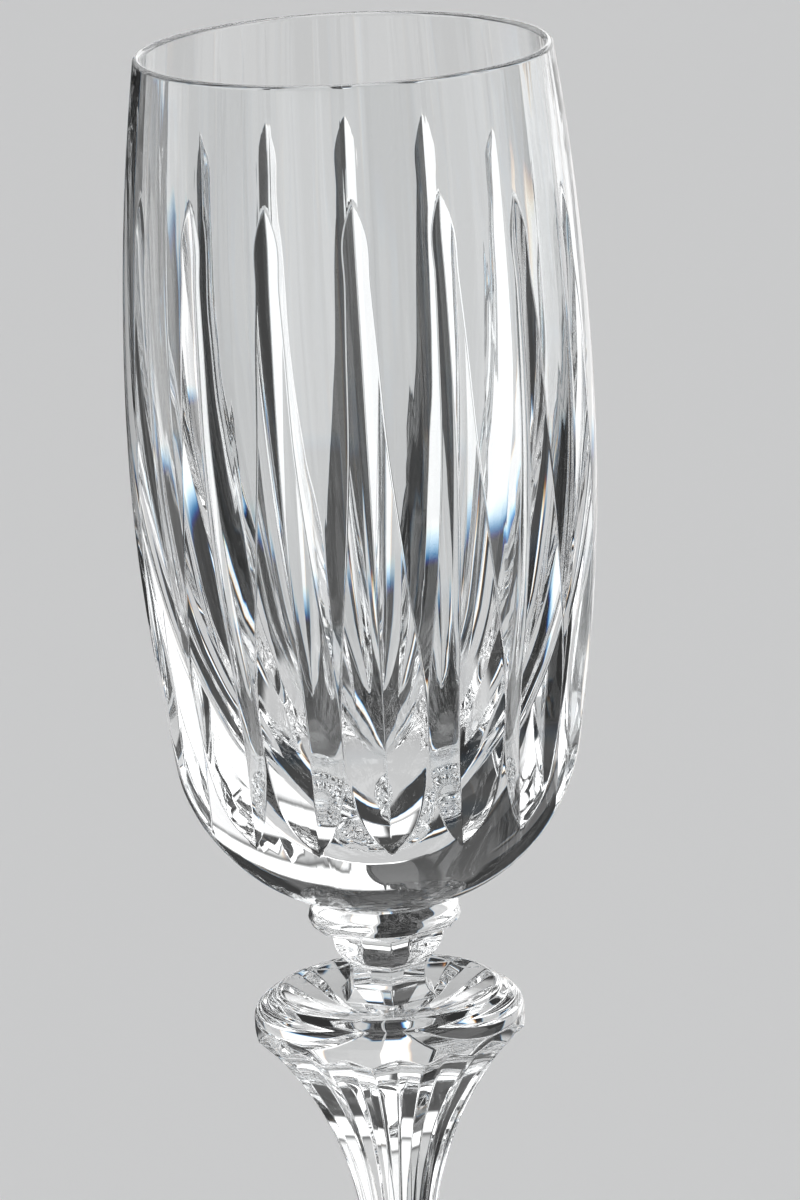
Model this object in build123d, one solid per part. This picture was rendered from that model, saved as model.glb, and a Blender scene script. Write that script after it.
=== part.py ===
"""Cut crystal champagne flute, in millimetres, standing on Z = 0 with its axis on +Z.

Six masses of glass are worked separately and joined hot, face to face, so nothing moves. From the
top: bowl, collar, neck, knop, stem and foot. The bowl and the stem each carry a ring of 16 mitre
cuts (long V-shaped grooves); the collar and the neck are ground six-sided. -Y is the front.
"""
import os
from math import cos, radians, sin

from build123d import *

# ---- Heights above the table, in the order of the joints between the pieces
RIM_Z = 210.0
BOWL_BASE_Z = 103.1
COLLAR_BASE_Z = 94.8
NECK_BASE_Z = 90.4
KNOP_BASE_Z = 85.8
STEM_BASE_Z = 14.0

# ---- Bowl, outside: widest at the belly, then a round base that starts at the shoulder
RIM_RADIUS = 25.5
RIM_WALL = 1.15
BELLY_RADIUS = 28.75
BELLY_Z = 162.0
SHOULDER_RADIUS = 25.2
SHOULDER_Z = 122.0
BOWL_BASE_RADIUS = 8.2

# ---- Bowl, inside, as radius and height: widest place, then ever tighter arcs down to the floor,
# so the wall thickens downwards
CAVITY_LINE = ((25.8, 175.0), (22.43, 145.0), (16.33, 128.0), (9.43, 118.5))

# ---- Mitre cuts
CUTS = 16
BOWL_CUT_HALF_ANGLE = 67.0
BOWL_CUT_WIDTH = 16.0
# Bottom line of a bowl cut, as radius and height: its tip below the rim, then the rest of it
BOWL_CUT_TIP = ((28.30, 202.5), (27.55, 199.0), (27.10, 196.0), (26.87, 192.0), (27.27, 186.0))
BOWL_CUT_LINE = (
    (27.48, 180.0),
    (27.60, 165.0),
    (26.60, 150.0),
    (25.15, 139.5),
    (24.30, 134.0),
    (23.45, 127.0),
    (23.10, 121.0),
    (22.90, 117.0),
    (23.00, 114.0),
    (23.60, 110.5),
)
# Cut by hand: the ring of cuts is turned, each cut leans, and its tip sits higher or lower along the
# wall. Counted from the front towards +X.
BOWL_TURN = 1.6
CUT_LEAN = 0.8
LEAN_Z = 159.0
TIP_RISE = (0.5, 0.7, -1.0, -1.6, -0.6, -1.4, -1.4, 0.1, -0.4, -0.4, 0.0, 0.2, 0.2, -0.4, -0.3, -0.1)
WALL_SLOPE = 0.1

# ---- Collar and neck: distance from the axis to the six flats, as radius and height
HEX_TURN = 4.5
COLLAR_ROUND = ((8.2, 103.1), (9.25, 102.0), (9.55, 100.9), (9.4, 100.2), (8.4, 99.0))
COLLAR_UPPER_FLAT = ((9.7, 100.45), (7.0, 99.2))
COLLAR_LOWER_FLAT = ((7.0, 99.2), (6.3, 96.9), (4.5, 94.8))
NECK_FLAT = ((4.5, 94.8), (4.5, 92.6), (5.7, 90.4))

# ---- Knop: a dished top, a bevelled shoulder and a plain round band
SEAT_RADIUS = 6.8
DISH_RADIUS = 13.4
DISH_Z = 91.2
TOP_RADIUS = 14.0
TOP_Z = 91.05
SHOULDER_RING_RADIUS = 15.15
SHOULDER_RING_Z = 90.1
BAND_RADIUS = 16.9
BAND_TOP_Z = 87.8

# ---- Stem: a trumpet under the knop that narrows to the waist
WAIST_RADIUS = 4.45
WAIST_Z = 55.6
STEM_BASE_RADIUS = 5.2
STEM_TURN = 3.0
STEM_CUT_HALF_ANGLE = 70.0
STEM_CUT_WIDTH = 8.0
# Bottom line of a stem cut: it bites into the band of the knop and runs out above the foot
STEM_CUT_LINE = (
    (18.60, 87.9),
    (16.90, 86.8),
    (15.20, 85.5),
    (12.90, 83.0),
    (10.30, 79.0),
    (7.75, 74.0),
    (5.35, 66.0),
    (4.10, 56.0),
    (4.15, 40.0),
    (4.45, 28.0),
    (5.05, 20.0),
    (6.00, 16.0),
)

# ---- Foot
FOOT_RADIUS = 33.0
FOOT_EDGE = 1.9
FLARE_RADIUS = 14.4
FLARE_Z = 4.25


def revolved(outline):
    """Solid of revolution about Z from edges drawn as (radius, height) on the XZ plane."""
    return revolve(Plane.XZ * make_face(outline), Axis.Z)


def arcs_through(points, tangent):
    """Arcs from point to point, the first one leaving along tangent and the rest smoothly."""
    arcs = []
    for start, end in zip(points, points[1:]):
        arcs.append(TangentArc(start, end, tangent=tangent))
        tangent = arcs[-1] % 1
    return arcs


def six_sided(flat_line, top_z, base_z):
    """Prism with six equal sides whose distance from the axis follows flat_line (an edge)."""
    reach = 15.0
    start = flat_line @ 0
    end = flat_line @ 1
    half = flat_line + Polyline((end.X, end.Y), (0, base_z), (0, top_z), (start.X, start.Y))
    section = make_face(half)
    section += mirror(section, Plane.YZ)
    slab = extrude(Plane.XZ * section, reach, both=True)
    body = slab & (Rot(Z=60) * slab) & (Rot(Z=120) * slab)
    return Rot(Z=HEX_TURN) * body


def mitre_cutter(line_points, half_angle, width, outside):
    """V-shaped cutter at the front that opens outwards from its bottom line to a radius outside."""
    bottom = Spline(*line_points)
    top = line_points[0]
    foot = line_points[-1]
    side = Plane.XZ * make_face(bottom + Polyline(foot, (outside, foot[1]), (outside, top[1]), top))
    reach = width / 2 / sin(radians(half_angle))
    halves = []
    for hand in (1, -1):
        slope = (cos(radians(half_angle)), hand * sin(radians(half_angle)), 0)
        halves.append(extrude(side, reach, dir=slope))
    return Rot(Z=-90) * (halves[0] + halves[1])


def bowl_cutters():
    """The ring of cutters for the bowl, each with its own tip."""
    cutters = []
    for number, rise in enumerate(TIP_RISE):
        tip = [(radius - WALL_SLOPE * rise, height + rise) for radius, height in BOWL_CUT_TIP]
        cutter = mitre_cutter((*tip, *BOWL_CUT_LINE), BOWL_CUT_HALF_ANGLE, BOWL_CUT_WIDTH,
                              BELLY_RADIUS + 3)
        leaning = Pos(0, 0, LEAN_Z) * Rot(Y=-CUT_LEAN) * Pos(0, 0, -LEAN_Z) * cutter
        cutters.append(Rot(Z=BOWL_TURN + 360 * number / CUTS) * leaning)
    return cutters


def stem_cutters():
    """The ring of cutters for the stem, which also reach the knop's band."""
    cutter = mitre_cutter(STEM_CUT_LINE, STEM_CUT_HALF_ANGLE, STEM_CUT_WIDTH, BAND_RADIUS + 4)
    return [Rot(Z=STEM_TURN + 360 * number / CUTS) * cutter for number in range(CUTS)]


def make_bowl():
    lip = RIM_WALL / 2
    rim_out = (RIM_RADIUS, RIM_Z - lip)
    rim_in = (RIM_RADIUS - RIM_WALL, RIM_Z - lip)
    belly = (BELLY_RADIUS, BELLY_Z)
    shoulder = (SHOULDER_RADIUS, SHOULDER_Z)
    base = (BOWL_BASE_RADIUS, BOWL_BASE_Z)

    upper = TangentArc(belly, rim_out, tangent=(0, 1))
    lower = TangentArc(belly, shoulder, tangent=(0, -1))
    round_base = TangentArc(shoulder, base, tangent=lower % 1)
    edge = ThreePointArc(rim_out, (RIM_RADIUS - lip, RIM_Z), rim_in)
    inner_upper = TangentArc(CAVITY_LINE[0], rim_in, tangent=(0, 1))
    inner_lower = arcs_through(CAVITY_LINE, (0, -1))
    # the floor is part of a sphere centred on the axis and tangent to the wall
    lean = inner_lower[-1] % 1
    floor_edge = CAVITY_LINE[-1]
    sphere = floor_edge[0] / abs(lean.Y)
    floor_z = floor_edge[1] - sphere * (1 - abs(lean.X))
    floor = TangentArc(floor_edge, (0, floor_z), tangent=lean)
    bottom = Polyline((0, floor_z), (0, BOWL_BASE_Z), base)

    blank = revolved(upper + lower + round_base + edge + inner_upper + inner_lower + floor + bottom)
    return blank - bowl_cutters()


def make_collar():
    outer = Polyline(*COLLAR_ROUND, (8.4, COLLAR_BASE_Z), (0, COLLAR_BASE_Z), (0, BOWL_BASE_Z),
                     COLLAR_ROUND[0])
    flats = Line(*COLLAR_UPPER_FLAT) + ThreePointArc(*COLLAR_LOWER_FLAT)
    wide = Line((9.7, BOWL_BASE_Z), COLLAR_UPPER_FLAT[0])
    return revolved(outer) & six_sided(wide + flats, BOWL_BASE_Z, COLLAR_BASE_Z)


def make_neck():
    straight = Line(NECK_FLAT[0], NECK_FLAT[1])
    flare = TangentArc(NECK_FLAT[1], NECK_FLAT[2], tangent=(0, -1))
    return six_sided(straight + flare, COLLAR_BASE_Z, NECK_BASE_Z)


def make_knop(cutters):
    seat = Polyline((0, KNOP_BASE_Z), (0, NECK_BASE_Z), (SEAT_RADIUS, NECK_BASE_Z))
    dish = TangentArc((SEAT_RADIUS, NECK_BASE_Z), (DISH_RADIUS, DISH_Z), tangent=(1, 0))
    bevel = Polyline((DISH_RADIUS, DISH_Z), (TOP_RADIUS, TOP_Z),
                     (SHOULDER_RING_RADIUS, SHOULDER_RING_Z))
    swell = TangentArc((BAND_RADIUS, BAND_TOP_Z), (SHOULDER_RING_RADIUS, SHOULDER_RING_Z),
                       tangent=(0, 1))
    band = Polyline((BAND_RADIUS, BAND_TOP_Z), (BAND_RADIUS, KNOP_BASE_Z), (0, KNOP_BASE_Z))
    return revolved(seat + dish + bevel + swell + band) - cutters


def make_stem(cutters):
    top = (BAND_RADIUS, KNOP_BASE_Z)
    waist = (WAIST_RADIUS, WAIST_Z)
    base = (STEM_BASE_RADIUS, STEM_BASE_Z)
    trumpet = TangentArc(waist, top, tangent=(0, 1))
    lower = TangentArc(waist, base, tangent=(0, -1))
    core = Polyline(base, (0, STEM_BASE_Z), (0, KNOP_BASE_Z), top)
    return revolved(trumpet + lower + core) - cutters


def make_foot():
    half_edge = FOOT_EDGE / 2
    flare = TangentArc((STEM_BASE_RADIUS, STEM_BASE_Z), (FLARE_RADIUS, FLARE_Z), tangent=(0.03, -1))
    disc = TangentArc((FLARE_RADIUS, FLARE_Z), (FOOT_RADIUS - half_edge, FOOT_EDGE),
                      tangent=flare % 1)
    edge = ThreePointArc((FOOT_RADIUS - half_edge, FOOT_EDGE), (FOOT_RADIUS, half_edge),
                         (FOOT_RADIUS - half_edge, 0))
    core = Polyline((FOOT_RADIUS - half_edge, 0), (0, 0), (0, STEM_BASE_Z),
                    (STEM_BASE_RADIUS, STEM_BASE_Z))
    return revolved(flare + disc + edge + core)


def main():
    cutters = stem_cutters()
    pieces = {
        "bowl": make_bowl(),
        "collar": make_collar(),
        "neck": make_neck(),
        "knop": make_knop(cutters),
        "stem": make_stem(cutters),
        "foot": make_foot(),
    }
    os.makedirs("parts", exist_ok=True)
    for name, shape in pieces.items():
        export_step(shape, f"parts/{name}.step")


main()
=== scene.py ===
from math import atan2, cos, hypot, pi, radians, sin, tan

import bpy
import numpy as np
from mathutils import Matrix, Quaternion, Vector


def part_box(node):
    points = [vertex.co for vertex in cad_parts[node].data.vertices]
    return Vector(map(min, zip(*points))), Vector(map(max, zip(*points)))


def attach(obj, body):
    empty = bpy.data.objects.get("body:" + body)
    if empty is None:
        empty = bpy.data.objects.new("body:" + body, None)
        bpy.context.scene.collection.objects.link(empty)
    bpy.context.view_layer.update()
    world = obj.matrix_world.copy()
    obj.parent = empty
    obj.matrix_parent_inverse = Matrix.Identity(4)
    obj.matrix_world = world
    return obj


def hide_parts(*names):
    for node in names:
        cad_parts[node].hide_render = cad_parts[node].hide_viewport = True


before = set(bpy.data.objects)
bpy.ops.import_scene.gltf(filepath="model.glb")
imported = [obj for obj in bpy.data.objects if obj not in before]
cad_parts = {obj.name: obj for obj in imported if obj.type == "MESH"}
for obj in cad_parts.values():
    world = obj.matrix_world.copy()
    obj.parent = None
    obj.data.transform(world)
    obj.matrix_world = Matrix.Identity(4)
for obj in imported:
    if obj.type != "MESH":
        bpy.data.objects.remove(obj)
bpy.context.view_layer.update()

MM = 0.001
TURN = 2 * pi


def top(node):
    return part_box(node)[1][2] / MM


def bottom(node):
    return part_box(node)[0][2] / MM


# ---- Heights of the joints between the pieces, from the frame
RIM_Z = top("bowl")
BOWL_BASE_Z = bottom("bowl")
COLLAR_BASE_Z = bottom("collar")
NECK_BASE_Z = bottom("neck")
KNOP_BASE_Z = bottom("knop")
STEM_BASE_Z = top("foot")

# ---- Bowl
RIM_RADIUS = 25.5
RIM_WALL = 1.15
BELLY = (28.75, 162.0)
SHOULDER = (25.2, 122.0)
BOWL_BASE_RADIUS = 8.2
CAVITY_LINE = ((25.8, 175.0), (22.43, 145.0), (16.33, 128.0), (9.43, 118.5))

# ---- Mitre cuts: number, half angle of the V, and bottom line as height, radius
CUTS = 16
BOWL_CUT_HALF_ANGLE = radians(67.0)
BOWL_CUT_LINE = ((110.5, 23.6), (114.0, 23.0), (117.0, 22.9), (121.0, 23.1), (127.0, 23.45),
                 (134.0, 24.3), (139.5, 25.15), (150.0, 26.6), (165.0, 27.6), (180.0, 27.48))
BOWL_CUT_TIP = ((186.0, 27.27), (192.0, 26.87), (196.0, 27.1), (199.0, 27.55), (202.5, 28.3))
# Cut by hand: the ring of cuts is turned, each cut leans about its place at LEAN_Z, and its tip sits
# higher or lower along the wall. Counted from the front towards +X.
BOWL_TURN = radians(1.6)
CUT_LEAN = radians(0.8)
LEAN_Z = 159.0
TIP_RISE = (0.5, 0.7, -1.0, -1.6, -0.6, -1.4, -1.4, 0.1, -0.4, -0.4, 0.0, 0.2, 0.2, -0.4, -0.3, -0.1)
# How much narrower the bowl gets per millimetre of height at the tips
WALL_SLOPE = 0.1
STEM_TURN = radians(3.0)
STEM_CUT_HALF_ANGLE = radians(70.0)
STEM_CUT_LINE = ((16.0, 6.0), (20.0, 5.05), (28.0, 4.45), (40.0, 4.15), (56.0, 4.1), (66.0, 5.35),
                 (74.0, 7.75), (79.0, 10.3), (83.0, 12.9), (85.5, 15.2), (86.8, 16.9), (87.9, 18.6))

# ---- Collar and neck, as radius and height: round outline, then distance from the axis to the flats
HEX_TURN = radians(4.5)
HEX_SIDES = 6
COLLAR_ROUND = ((8.2, 103.1), (9.25, 102.0), (9.55, 100.9), (9.4, 100.2), (8.4, 99.0))
COLLAR_RING_Z = COLLAR_ROUND[3][1]
COLLAR_UPPER_FLAT = ((9.7, 100.45), (7.0, 99.2))
COLLAR_LOWER_FLAT = ((7.0, 99.2), (6.3, 96.9), (4.5, 94.8))
NECK_FLAT = ((4.5, 94.8), (4.5, 92.6), (5.7, 90.4))
# Radius where nothing is ground off or cut away
CLEAR = 20.0

# ---- Knop
DISH_EDGE = (13.4, 91.2)
TOP_EDGE = (14.0, 91.05)
SHOULDER_RING = (15.15, 90.1)
BAND_TOP = (16.9, 87.8)
SEAT_RADIUS = 6.8

# ---- Stem and foot
WAIST = (4.45, 55.6)
STEM_BASE_RADIUS = 5.2
FOOT_EDGE = 1.9
FLARE = (14.4, 4.25)
# Direction, as radius and height, in which the foot leaves the stem
FLARE_START = (0.03, -1)

# ---- Meshes: columns around the turned pieces, and how far a cut edge or a ridge is rounded off
COLUMNS = 480
FOOT_COLUMNS = 240
EDGE_ROUND = 0.03
BOWL_RIDGE_ROUND = 0.06
STEM_RIDGE_ROUND = 0.03
FLAT_ROUND = 0.12
# Least divisor in the formulas of grooves and flats, whose planes run off to infinity at their sides
LEAST_DIVISOR = 0.2
# How far along an arc its points are, with the last two close together so that the edge stays sharp
INNER_STOPS = [*np.linspace(0, 0.97, 14), 0.998, 1]
# The same for the bowl's outside, from belly to rim and from shoulder to base: closer where cuts end
TIP_STOPS = [*np.linspace(0, 0.53, 24), *np.linspace(0.54, 0.8, 36), *np.linspace(0.83, 0.98, 6), 0.9985, 1]
END_STOPS = [*np.linspace(0, 0.5, 28), *np.linspace(0.54, 1, 13)]

# ---- Glass: its index, its waviness (height in metres), and its tint where it is clearest and deepest
GLASS_INDEX = 1.55
WAVE_SCALE = 130
WAVE_DETAIL = 1.5
WAVE_HEIGHT = 0.00003
WAVES_ALONG = 0.35
CLEAREST_TINT = (0.988, 0.995, 0.997, 1)
DEEPEST_TINT = (0.976, 0.988, 0.993, 1)

# ---- Floor, in metres: it lies a little below the foot, so that no two faces share a plane
FLOOR_COLOUR = (0.8, 0.805, 0.81)
FLOOR_ROUGHNESS = 0.7
FLOOR_HALF = 6.0
FLOOR_Z = -0.0003

# ---- Light tent: radiance of its plain parts, as bright as the floor looks, of its cards and above
PALE = 0.62
BLACK_CARD = 0.03
WHITE_CARD = 1.15
DARK_ABOVE = 0.05
CEILING = 1.9
# Soft boxes: bearing from and to, height from and to, in degrees, and radiance
SOFT_BOXES = ((-5, 45, 6, 16, 1.6), (88, 132, 4, 60, 2.0), (-132, -88, 4, 60, 2.0))
# Heights in degrees between which each part of the tent gives way to the next, from the top down
CEILING_EDGE = (62, 66)
EYE_LEVEL_EDGE = (4.0, 7.0)
DEEP_EDGE = (-26.0, -23.0)
GROUND_EDGE = (-54.0, -48.0)
# Degrees to either side of a straight view where it stays pale, at eye level and deeper, and from
# where to where a white strip hangs beside the deeper view
EYE_LEVEL_GAP = 9.0
DEEP_GAP = 6.0
DEEP_STRIP = (8.0, 12.0)
# Width in degrees of the soft edges of cards and of soft boxes
CARD_SOFTNESS = 1.0
BOX_SOFTNESS = 2.0
# How far out red, green and blue see the cards, relative to green
DISPERSION = (1.018, 1.0, 0.982)

# ---- Camera: place in metres, with its height above the rim; lens in millimetres; pitch, yaw, roll
CAMERA_BACK = 0.8165
CAMERA_ABOVE_RIM = 0.14425
CAMERA_LENS = 205.5
CAMERA_PITCH = radians(14.65)
CAMERA_YAW = 0.0046
CAMERA_ROLL = radians(-2.72)


# ---------------------------------------------------------------- curves
def arc(start, end, tangent, stops):
    """Points (radius, height) along the arc from start to end that leaves start along tangent.

    stops is how many points there are, or how far along the arc each one is, from 0 to 1."""
    stops = np.linspace(0, 1, stops) if isinstance(stops, int) else np.array(stops)
    start = np.array(start, float)
    end = np.array(end, float)
    tangent = np.array(tangent, float) / hypot(*tangent)
    chord = end - start
    turn = 2 * (atan2(chord[1], chord[0]) - atan2(tangent[1], tangent[0]))
    turn = (turn + TURN / 2) % TURN - TURN / 2 if abs(turn) > pi else turn
    if abs(turn) < 1e-6:
        return start + stops[:, None] * chord
    radius = hypot(*chord) / (2 * sin(abs(turn) / 2))
    side = np.array((-tangent[1], tangent[0])) * np.sign(turn)
    centre = start + side * radius
    angles = turn * stops
    arm = start - centre
    spin = np.array([[np.cos(angles), -np.sin(angles)], [np.sin(angles), np.cos(angles)]])
    return centre + np.einsum("ijk,j->ki", spin, arm)


def arrival(start, end, tangent):
    """Unit direction in which that arc reaches its end; tangent is a unit vector too."""
    chord = (end[0] - start[0], end[1] - start[1])
    length = hypot(*chord)
    along = 2 * (tangent[0] * chord[0] + tangent[1] * chord[1]) / length**2
    return (along * chord[0] - tangent[0], along * chord[1] - tangent[1])


def line(start, end, count):
    """Evenly spaced points, or heights, from start to end."""
    return np.linspace(start, end, count)


def joined(*stretches):
    """Stretches of an outline end to end, with each shared point kept once."""
    return np.concatenate([stretches[0]] + [stretch[1:] for stretch in stretches[1:]])


def smooth_curve(points, at):
    """Cubic curve through points (place, value), evaluated at the places at."""
    place, value = np.array(points, float).T
    slope = np.gradient(value, place)
    index = np.clip(np.searchsorted(place, at) - 1, 0, len(place) - 2)
    width = place[index + 1] - place[index]
    t = (np.clip(at, place[0], place[-1]) - place[index]) / width
    return ((2 * t**3 - 3 * t**2 + 1) * value[index] + (t**3 - 2 * t**2 + t) * width * slope[index]
            + (3 * t**2 - 2 * t**3) * value[index + 1] + (t**3 - t**2) * width * slope[index + 1])


def soft_min(a, b, blend):
    """The lower of a and b, rounded off over a difference of blend."""
    near = np.maximum(blend - np.abs(a - b), 0) / blend
    return np.minimum(a, b) - near * near * blend / 4


# ---------------------------------------------------------------- meshes
def make_piece(name, rings, materials, joint_rings=()):
    """Closed mesh from rings of points (ring, column, xyz), each end closed by a point on the axis.

    The bands of faces numbered in joint_rings, counted from the start, are fused joints."""
    rings = np.asarray(rings, float) * MM
    count, columns = rings.shape[:2]
    ends = np.array([[0, 0, rings[0, :, 2].mean()], [0, 0, rings[-1, :, 2].mean()]])
    points = np.concatenate([rings.reshape(-1, 3), ends])
    faces = []
    slots = []
    for column in range(columns):
        after = (column + 1) % columns
        faces.append((len(points) - 2, column, after))
        slots.append(0 in joint_rings)
    for ring in range(count - 1):
        for column in range(columns):
            after = (column + 1) % columns
            faces.append((ring * columns + column, (ring + 1) * columns + column,
                          (ring + 1) * columns + after, ring * columns + after))
            slots.append(ring + 1 in joint_rings)
    last = (count - 1) * columns
    for column in range(columns):
        after = (column + 1) % columns
        faces.append((len(points) - 1, last + after, last + column))
        slots.append(count in joint_rings)
    mesh = bpy.data.meshes.new(name)
    mesh.from_pydata(points.tolist(), [], faces)
    for material in materials:
        mesh.materials.append(material)
    mesh.polygons.foreach_set("material_index", [int(joint) for joint in slots])
    mesh.polygons.foreach_set("use_smooth", [True] * len(faces))
    mesh.update()
    piece = bpy.data.objects.new(name, mesh)
    bpy.context.scene.collection.objects.link(piece)
    return piece


def around(radius, angle, height):
    """Points at angle from the front (-Y), turning towards +X."""
    radius, angle, height = np.broadcast_arrays(radius, angle, height)
    return np.stack([radius * np.sin(angle), -radius * np.cos(angle), height], -1)


def groove(bottom_line, angle, half_angle):
    """Radius of a V-shaped groove, slightly rounded at its bottom, at an angle from its centre line."""
    rounding = 0.0015
    across = np.sqrt(np.sin(angle) ** 2 + rounding**2)
    below = np.maximum(np.cos(angle) * tan(half_angle) - across, LEAST_DIVISOR)
    return bottom_line * tan(half_angle) / below


def half_columns(edge, ridge):
    """Distances from a groove's centre line to its columns: close together at each cut edge."""
    near, far = 0.07, 0.16
    narrowest_cut, narrowest_land = 0.7, 0.55
    edge = np.clip(edge, narrowest_cut, ridge - narrowest_land)
    land = ridge - edge - 2 * far
    return np.stack([0 * edge, 0 * edge + near, 0 * edge + far, edge * 0.4, edge * 0.7, edge - far,
                     edge - near, edge + near, edge + far, edge + far + land / 3,
                     edge + far + land * 2 / 3, ridge - far, ridge - near], -1)


def cut_line(rise, height):
    """Radius of the bottom line of one bowl cut whose tip is raised along the wall."""
    tip = tuple((z + rise, radius - WALL_SLOPE * rise) for z, radius in BOWL_CUT_TIP)
    radius = smooth_curve(BOWL_CUT_LINE + tip, height)
    outside = (height < BOWL_CUT_LINE[0][0]) | (height > tip[-1][0])
    return np.where(outside, BELLY[0] + 1, radius)


def cut_bowl(outline):
    """Rings of the bowl's outside along outline, with its cuts.

    Columns run from the centre of each cut, over the ridge, to the centre of the next one."""
    radius, height = outline.T[:, :, None]
    floor = np.stack([cut_line(rise, height[:, 0]) for rise in TIP_RISE], 1)
    floor = np.minimum(floor, radius + 1)
    after = np.roll(floor, -1, 1)
    pitch = TURN / CUTS
    slope = tan(BOWL_CUT_HALF_ANGLE)
    ridge = np.arctan2(after * slope - floor * (slope * cos(pitch) - sin(pitch)),
                       floor * (slope * sin(pitch) + cos(pitch)) + after)
    most_uneven = 0.08
    ridge = np.clip(ridge, pitch * (0.5 - most_uneven), pitch * (0.5 + most_uneven))
    share = np.clip(floor * sin(BOWL_CUT_HALF_ANGLE) / radius, -1, 1)
    edge = np.maximum(np.arccos(share) - (pi / 2 - BOWL_CUT_HALF_ANGLE), 0) * radius
    first = half_columns(edge, ridge * radius)
    second = half_columns(np.roll(edge, -1, 1), (pitch - ridge) * radius)
    radius = radius[:, :, None]
    local = np.concatenate([first / radius, ridge[:, :, None], pitch - second[:, :, :0:-1] / radius], 2)
    cut = soft_min(groove(floor[:, :, None], local, BOWL_CUT_HALF_ANGLE),
                   groove(after[:, :, None], pitch - local, BOWL_CUT_HALF_ANGLE), BOWL_RIDGE_ROUND)
    surface = soft_min(np.broadcast_to(radius, cut.shape), cut, EDGE_ROUND)
    # the base narrows below the cuts, where the lean is worked out as if the radius stayed the same
    narrowest = 20.0
    lean = np.arcsin((LEAN_Z - height) * tan(CUT_LEAN) / np.maximum(outline[:, :1], narrowest))
    centres = BOWL_TURN + lean + np.arange(CUTS) * pitch
    rings = around(surface, centres[:, :, None] + local, height[:, :, None])
    return rings.reshape(len(outline), -1, 3)


def cavity_outline(counts):
    """Inside of the bowl from its widest place to the middle of its floor, which is part of a sphere."""
    stretches = []
    tangent = (0, -1)
    for start, end, count in zip(CAVITY_LINE, CAVITY_LINE[1:], counts):
        stretches.append(arc(start, end, tangent, count))
        tangent = arrival(start, end, tangent)
    edge = CAVITY_LINE[-1]
    sphere = edge[0] / abs(tangent[1])
    middle = (0, edge[1] - sphere * (1 - abs(tangent[0])))
    return joined(*stretches, arc(edge, middle, tangent, counts[-1]))


def bowl_piece(materials):
    lip = RIM_WALL / 2
    rim_out = (RIM_RADIUS, RIM_Z - lip)
    rim_in = (RIM_RADIUS - RIM_WALL, RIM_Z - lip)
    lower_inside = cavity_outline((12, 12, 12, 12))[::-1][1:]
    inside = joined(lower_inside, arc(CAVITY_LINE[0], rim_in, (0, 1), INNER_STOPS))
    rim = arc(rim_in, rim_out, (0, 1), 13)
    upper = arc(BELLY, rim_out, (0, 1), TIP_STOPS)[::-1]
    lower = arc(BELLY, SHOULDER, (0, -1), 40)
    base = arc(SHOULDER, (BOWL_BASE_RADIUS, BOWL_BASE_Z), arrival(BELLY, SHOULDER, (0, -1)), END_STOPS)
    outside = cut_bowl(joined(upper, lower, base))
    angles = np.arctan2(outside[0, :, 0], -outside[0, :, 1])
    inner = joined(inside, rim)[:-1]
    inner_rings = around(inner[:, :1], angles[None, :], inner[:, 1:])
    rings = np.concatenate([inner_rings, outside])
    return make_piece("bowl_crystal", rings, materials, joint_rings=(len(rings),))


def all_round(columns=COLUMNS):
    """Angles of evenly spaced columns."""
    return np.arange(columns) * TURN / columns


def flat_sided(radius, flat):
    """Radius at each column of a round section with six flats ground on it."""
    side = TURN / HEX_SIDES
    offset = (all_round() - HEX_TURN) % side
    first = flat / np.cos(offset - side / 2)
    second = flat / np.maximum(np.cos(offset + side / 2), LEAST_DIVISOR)
    third = flat / np.maximum(np.cos(offset - side * 1.5), LEAST_DIVISOR)
    ground = soft_min(soft_min(first, second, FLAT_ROUND), third, FLAT_ROUND)
    return soft_min(np.full(COLUMNS, float(radius)), ground, FLAT_ROUND / 2)


def collar_piece(materials):
    """Two tiers: a round one whose underside is ground to flats, and a lower one that is all flats."""
    (wide, wide_z), (waist, waist_z) = COLLAR_UPPER_FLAT
    # stretches of rows that stop short of each other at the two creases
    heights = np.concatenate([line(BOWL_BASE_Z, COLLAR_RING_Z, 16),
                              line(COLLAR_RING_Z - 0.05, waist_z + 0.1, 12),
                              line(waist_z, COLLAR_BASE_Z, 30)])
    round_radius, round_z = np.array(COLLAR_ROUND[::-1]).T
    upper = waist + (heights - waist_z) * (wide - waist) / (wide_z - waist_z)
    lower = smooth_curve([(z, radius) for radius, z in COLLAR_LOWER_FLAT[::-1]], heights)
    flats = np.where(heights > wide_z, CLEAR, np.where(heights > waist_z, upper, lower))
    rows = [around(flat_sided(radius, flat), all_round(), z)
            for radius, flat, z in zip(np.interp(heights, round_z, round_radius), flats, heights)]
    return make_piece("collar_crystal", rows, materials, joint_rings=(0, len(rows)))


def neck_piece(materials):
    outline = joined(line(NECK_FLAT[0], NECK_FLAT[1], 8), arc(NECK_FLAT[1], NECK_FLAT[2], (0, -1), 14))
    rows = [around(flat_sided(CLEAR, flat), all_round(), z) for flat, z in outline]
    return make_piece("neck_crystal", rows, materials, joint_rings=(0, len(rows)))


def cut_stem(outline):
    """Rings along outline with the stem's cuts, which also reach the knop's band."""
    radius, height = outline.T
    floor_line = smooth_curve(STEM_CUT_LINE, height)
    outside = (height < STEM_CUT_LINE[0][0]) | (height > STEM_CUT_LINE[-1][0])
    floor_line = np.where(outside, radius + 1, floor_line)[:, None]
    local = ((all_round() - STEM_TURN) % (TURN / CUTS))[None, :]
    first = groove(floor_line, local, STEM_CUT_HALF_ANGLE)
    second = groove(floor_line, TURN / CUTS - local, STEM_CUT_HALF_ANGLE)
    cut = soft_min(first, second, STEM_RIDGE_ROUND)
    surface = soft_min(np.broadcast_to(radius[:, None], cut.shape), cut, EDGE_ROUND)
    return around(surface, all_round()[None, :], height[:, None])


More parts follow.
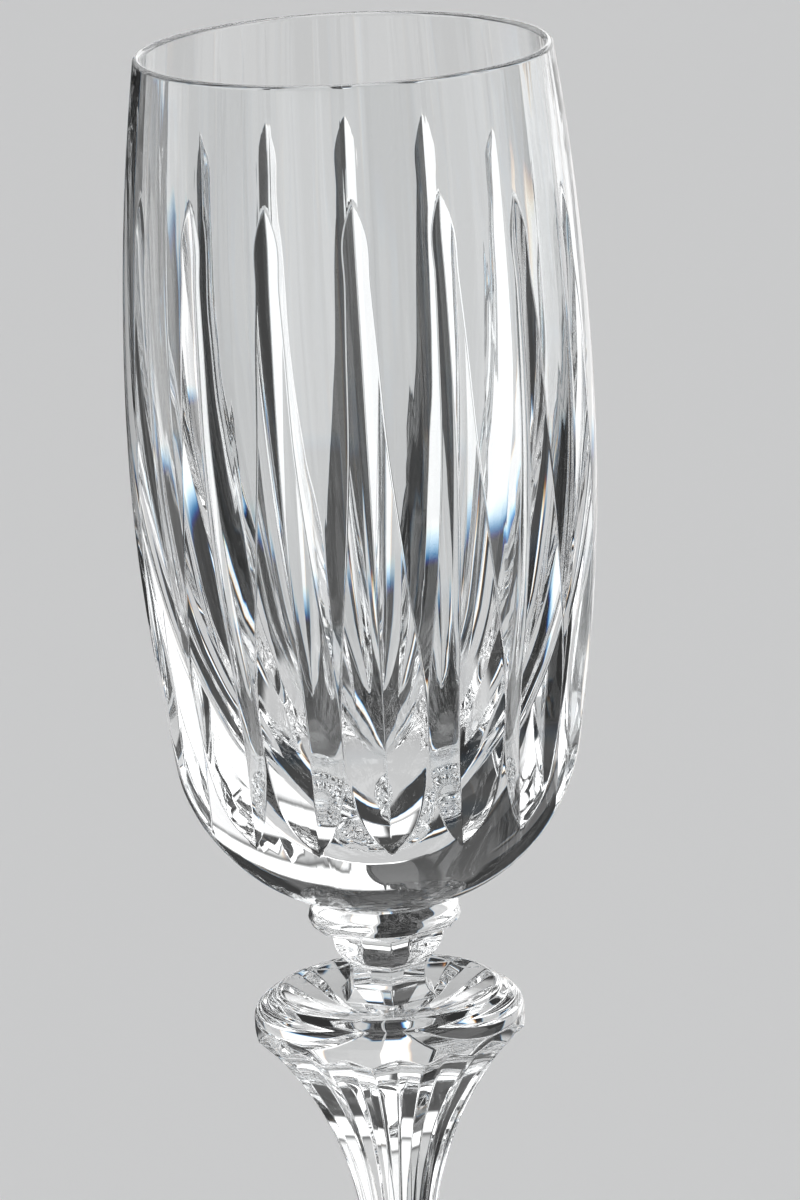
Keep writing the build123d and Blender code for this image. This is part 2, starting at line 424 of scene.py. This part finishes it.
def knop_piece(materials):
    seat = around(flat_sided(CLEAR, NECK_FLAT[-1][0]), all_round(), NECK_BASE_Z)[None]
    ledge = around(SEAT_RADIUS, all_round(), NECK_BASE_Z)[None]
    dish = arc((SEAT_RADIUS, NECK_BASE_Z), DISH_EDGE, (1, 0), 16)[1:]
    bevel = joined(line(DISH_EDGE, TOP_EDGE, 4), line(TOP_EDGE, SHOULDER_RING, 5))[1:]
    swell = arc(BAND_TOP, SHOULDER_RING, (0, 1), 12)[::-1][1:]
    band = line(BAND_TOP, (BAND_TOP[0], KNOP_BASE_Z), 16)[1:]
    rings = np.concatenate([seat, ledge, cut_stem(np.concatenate([dish, bevel, swell, band]))])
    return make_piece("knop_crystal", rings, materials, joint_rings=(0, len(rings)))


def stem_piece(materials):
    trumpet = arc(WAIST, (BAND_TOP[0], KNOP_BASE_Z), (0, 1), 70)[::-1]
    lower = arc(WAIST, (STEM_BASE_RADIUS, STEM_BASE_Z), (0, -1), 60)
    rings = cut_stem(joined(trumpet, lower))
    return make_piece("stem_crystal", rings, materials, joint_rings=(0, len(rings)))


def foot_piece(materials):
    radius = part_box("foot")[1][0] / MM
    half = FOOT_EDGE / 2
    joint = (STEM_BASE_RADIUS, STEM_BASE_Z)
    start = np.array(FLARE_START) / hypot(*FLARE_START)
    flare = arc(joint, FLARE, start, 30)
    disc = arc(FLARE, (radius - half, FOOT_EDGE), arrival(joint, FLARE, start), 30)
    edge = arc((radius - half, FOOT_EDGE), (radius - half, 0), (1, 0), 9)
    outline = joined(flare, disc, edge)
    rings = around(outline[:, :1], all_round(FOOT_COLUMNS)[None, :], outline[:, 1:])
    return make_piece("foot_crystal", rings, materials, joint_rings=(0,))


# ---------------------------------------------------------------- node trees
class Graph:
    """Short names for building a node tree."""

    def __init__(self, tree):
        self.nodes = tree.nodes
        self.links = tree.links

    def put(self, value, socket):
        """Link value to socket if it is an output, or else set it."""
        if isinstance(value, bpy.types.NodeSocket):
            self.links.new(value, socket)
        else:
            socket.default_value = value

    def node(self, kind, inputs):
        """Output sockets of a new node whose named or numbered inputs are linked or set."""
        node = self.nodes.new("ShaderNode" + kind)
        for name, value in inputs.items():
            self.put(value, node.inputs[name])
        return node.outputs

    def math(self, operation, first, second=0.0):
        node = self.nodes.new("ShaderNodeMath")
        node.operation = operation
        self.put(first, node.inputs[0])
        self.put(second, node.inputs[1])
        return node.outputs[0]

    def step(self, value, start, end, low=0.0, high=1.0):
        """Smooth change from low to high as value goes from start to end."""
        node = self.nodes.new("ShaderNodeMapRange")
        node.interpolation_type = "SMOOTHSTEP"
        self.put(value, node.inputs["Value"])
        self.put(start, node.inputs["From Min"])
        self.put(end, node.inputs["From Max"])
        self.put(low, node.inputs["To Min"])
        self.put(high, node.inputs["To Max"])
        return node.outputs[0]

    def window(self, value, start, end, softness):
        """1 between start and end, 0 outside, with edges of width softness."""
        rise = self.step(value, start, start + softness)
        return self.math("MULTIPLY", rise, self.step(value, end - softness, end, 1.0, 0.0))

    def blend(self, share, low, high):
        """low where share is 0, high where it is 1."""
        return self.math("ADD", self.math("MULTIPLY", low, self.math("SUBTRACT", 1.0, share)),
                         self.math("MULTIPLY", high, share))


# ---------------------------------------------------------------- materials
def crystal_material():
    """Polished lead crystal: faintly tinted, with the slight waviness that hand polishing leaves."""
    material = bpy.data.materials.new("polished_crystal")
    material.use_nodes = True
    graph = Graph(material.node_tree)
    place = graph.node("TexCoord", {})["Object"]
    drawn_out = graph.node("Mapping", {"Vector": place, "Scale": (1, 1, WAVES_ALONG)})[0]
    waves = graph.node("TexNoise", {"Vector": drawn_out, "Scale": WAVE_SCALE, "Detail": WAVE_DETAIL})[0]
    bump = graph.node("Bump", {"Distance": WAVE_HEIGHT, "Height": waves})[0]
    tint = material.node_tree.nodes.new("ShaderNodeMix")
    tint.data_type = "RGBA"
    graph.put(waves, tint.inputs["Factor"])
    # A and B, and below the result, in the places that a mix of colours has among a mix node's sockets
    graph.put(CLEAREST_TINT, tint.inputs[6])
    graph.put(DEEPEST_TINT, tint.inputs[7])
    shader = material.node_tree.nodes["Principled BSDF"]
    graph.put(tint.outputs[2], shader.inputs["Base Color"])
    graph.put(bump, shader.inputs["Normal"])
    graph.put(0.0, shader.inputs["Roughness"])
    graph.put(GLASS_INDEX, shader.inputs["IOR"])
    graph.put(1.0, shader.inputs["Transmission Weight"])
    return material


def joint_material():
    """Fused joint: glass meets glass, so nothing reflects or bends there."""
    material = bpy.data.materials.new("fused_joint")
    material.use_nodes = True
    material.node_tree.nodes.clear()
    graph = Graph(material.node_tree)
    clear = graph.node("BsdfTransparent", {})[0]
    graph.node("OutputMaterial", {"Surface": clear})
    return material


# ---------------------------------------------------------------- studio
def studio_floor():
    """Plain pale floor. Views that the glass bends or mirrors pass it by and see the light tent."""
    material = bpy.data.materials.new("pale_floor")
    material.use_nodes = True
    shader = material.node_tree.nodes["Principled BSDF"]
    shader.inputs["Base Color"].default_value = (*FLOOR_COLOUR, 1)
    shader.inputs["Roughness"].default_value = FLOOR_ROUGHNESS
    corners = [(FLOOR_HALF * x, FLOOR_HALF * y, FLOOR_Z) for x, y in ((-1, -1), (1, -1), (1, 1), (-1, 1))]
    mesh = bpy.data.meshes.new("floor")
    mesh.from_pydata(corners, [], [(0, 1, 2, 3)])
    mesh.materials.append(material)
    floor = bpy.data.objects.new("floor", mesh)
    bpy.context.scene.collection.objects.link(floor)
    floor.visible_transmission = False
    floor.visible_glossy = False


def from_nearest(graph, bearing, step, stretch):
    """Degrees from the nearest multiple of step, made stretch times as large."""
    side = graph.math("DIVIDE", bearing, step)
    part = graph.math("SUBTRACT", side, graph.math("ROUND", side))
    return graph.math("MULTIPLY", part, step * stretch)


def tent(graph, bearing, height, stretch):
    """Radiance of the light tent at a bearing from +Y and a height, both in degrees."""
    from_side = from_nearest(graph, bearing, 90.0, stretch)
    from_view = from_nearest(graph, bearing, 45.0, stretch)
    card = graph.blend(graph.step(from_side, 0.0, CARD_SOFTNESS), BLACK_CARD, WHITE_CARD)
    gap = graph.window(from_view, -EYE_LEVEL_GAP, EYE_LEVEL_GAP, CARD_SOFTNESS)
    level = graph.blend(gap, card, PALE)
    deep_gap = graph.window(from_view, -DEEP_GAP, DEEP_GAP, CARD_SOFTNESS)
    deep = graph.blend(deep_gap, BLACK_CARD, PALE)
    deep = graph.blend(graph.window(from_view, *DEEP_STRIP, CARD_SOFTNESS), deep, WHITE_CARD)
    drop = graph.math("MULTIPLY", height, stretch)
    level = graph.blend(graph.step(drop, *DEEP_EDGE), deep, level)
    level = graph.blend(graph.step(height, *GROUND_EDGE), PALE, level)
    upper = DARK_ABOVE
    for left, right, low, high, radiance in SOFT_BOXES:
        box = graph.math("MULTIPLY", graph.window(bearing, left, right, BOX_SOFTNESS),
                         graph.window(height, low, high, BOX_SOFTNESS))
        upper = graph.blend(box, upper, radiance)
    upper = graph.blend(graph.step(height, *CEILING_EDGE), upper, CEILING)
    return graph.blend(graph.step(height, *EYE_LEVEL_EDGE), level, upper)


def studio_world():
    """Light tent. Looked at straight through the glass, from any of four sides or halfway between them,
    it is as pale as the floor. A black card hangs to the left of each side and a white one to its right,
    which is what the two flanks of every cut show; soft boxes hang above. Lead crystal bends blue more
    than red, so each colour has the cards a little nearer or farther."""
    world = bpy.data.worlds.new("studio")
    bpy.context.scene.world = world
    world.use_nodes = True
    graph = Graph(world.node_tree)
    direction = graph.node("TexCoord", {})["Generated"]
    x, y, z = graph.node("SeparateXYZ", {"Vector": direction})
    bearing = graph.math("MULTIPLY", graph.math("ARCTAN2", x, y), 180 / pi)
    height = graph.math("MULTIPLY", graph.math("ARCSINE", z), 180 / pi)
    channels = (tent(graph, bearing, height, stretch) for stretch in DISPERSION)
    colour = graph.node("CombineColor", dict(enumerate(channels)))[0]
    graph.put(colour, world.node_tree.nodes["Background"].inputs["Color"])


def camera():
    """Camera in front and above, pitched down at the bowl and rolled a little."""
    data = bpy.data.cameras.new("camera")
    data.lens = CAMERA_LENS
    seen = bpy.data.objects.new("camera", data)
    seen.location = (0, -CAMERA_BACK, RIM_Z * MM + CAMERA_ABOVE_RIM)
    level = cos(CAMERA_PITCH)
    forward = Vector((sin(CAMERA_YAW) * level, cos(CAMERA_YAW) * level, -sin(CAMERA_PITCH)))
    facing = forward.to_track_quat("-Z", "Y") @ Quaternion((0, 0, 1), CAMERA_ROLL)
    seen.rotation_euler = facing.to_euler()
    bpy.context.scene.collection.objects.link(seen)
    bpy.context.scene.camera = seen


def light_paths():
    """Enough bounces for views that go in and out of the cut glass many times, and plain colours."""
    cycles = bpy.context.scene.cycles
    cycles.max_bounces = 32
    cycles.transmission_bounces = 32
    cycles.glossy_bounces = 24
    cycles.transparent_max_bounces = 48
    bpy.context.scene.view_settings.view_transform = "Standard"


def main():
    materials = (crystal_material(), joint_material())
    makers = {"bowl": bowl_piece, "collar": collar_piece, "neck": neck_piece, "knop": knop_piece,
              "stem": stem_piece, "foot": foot_piece}
    for node, maker in makers.items():
        piece = maker(materials)
        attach(piece, "root")
        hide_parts(node)
    studio_floor()
    studio_world()
    camera()
    light_paths()


main()
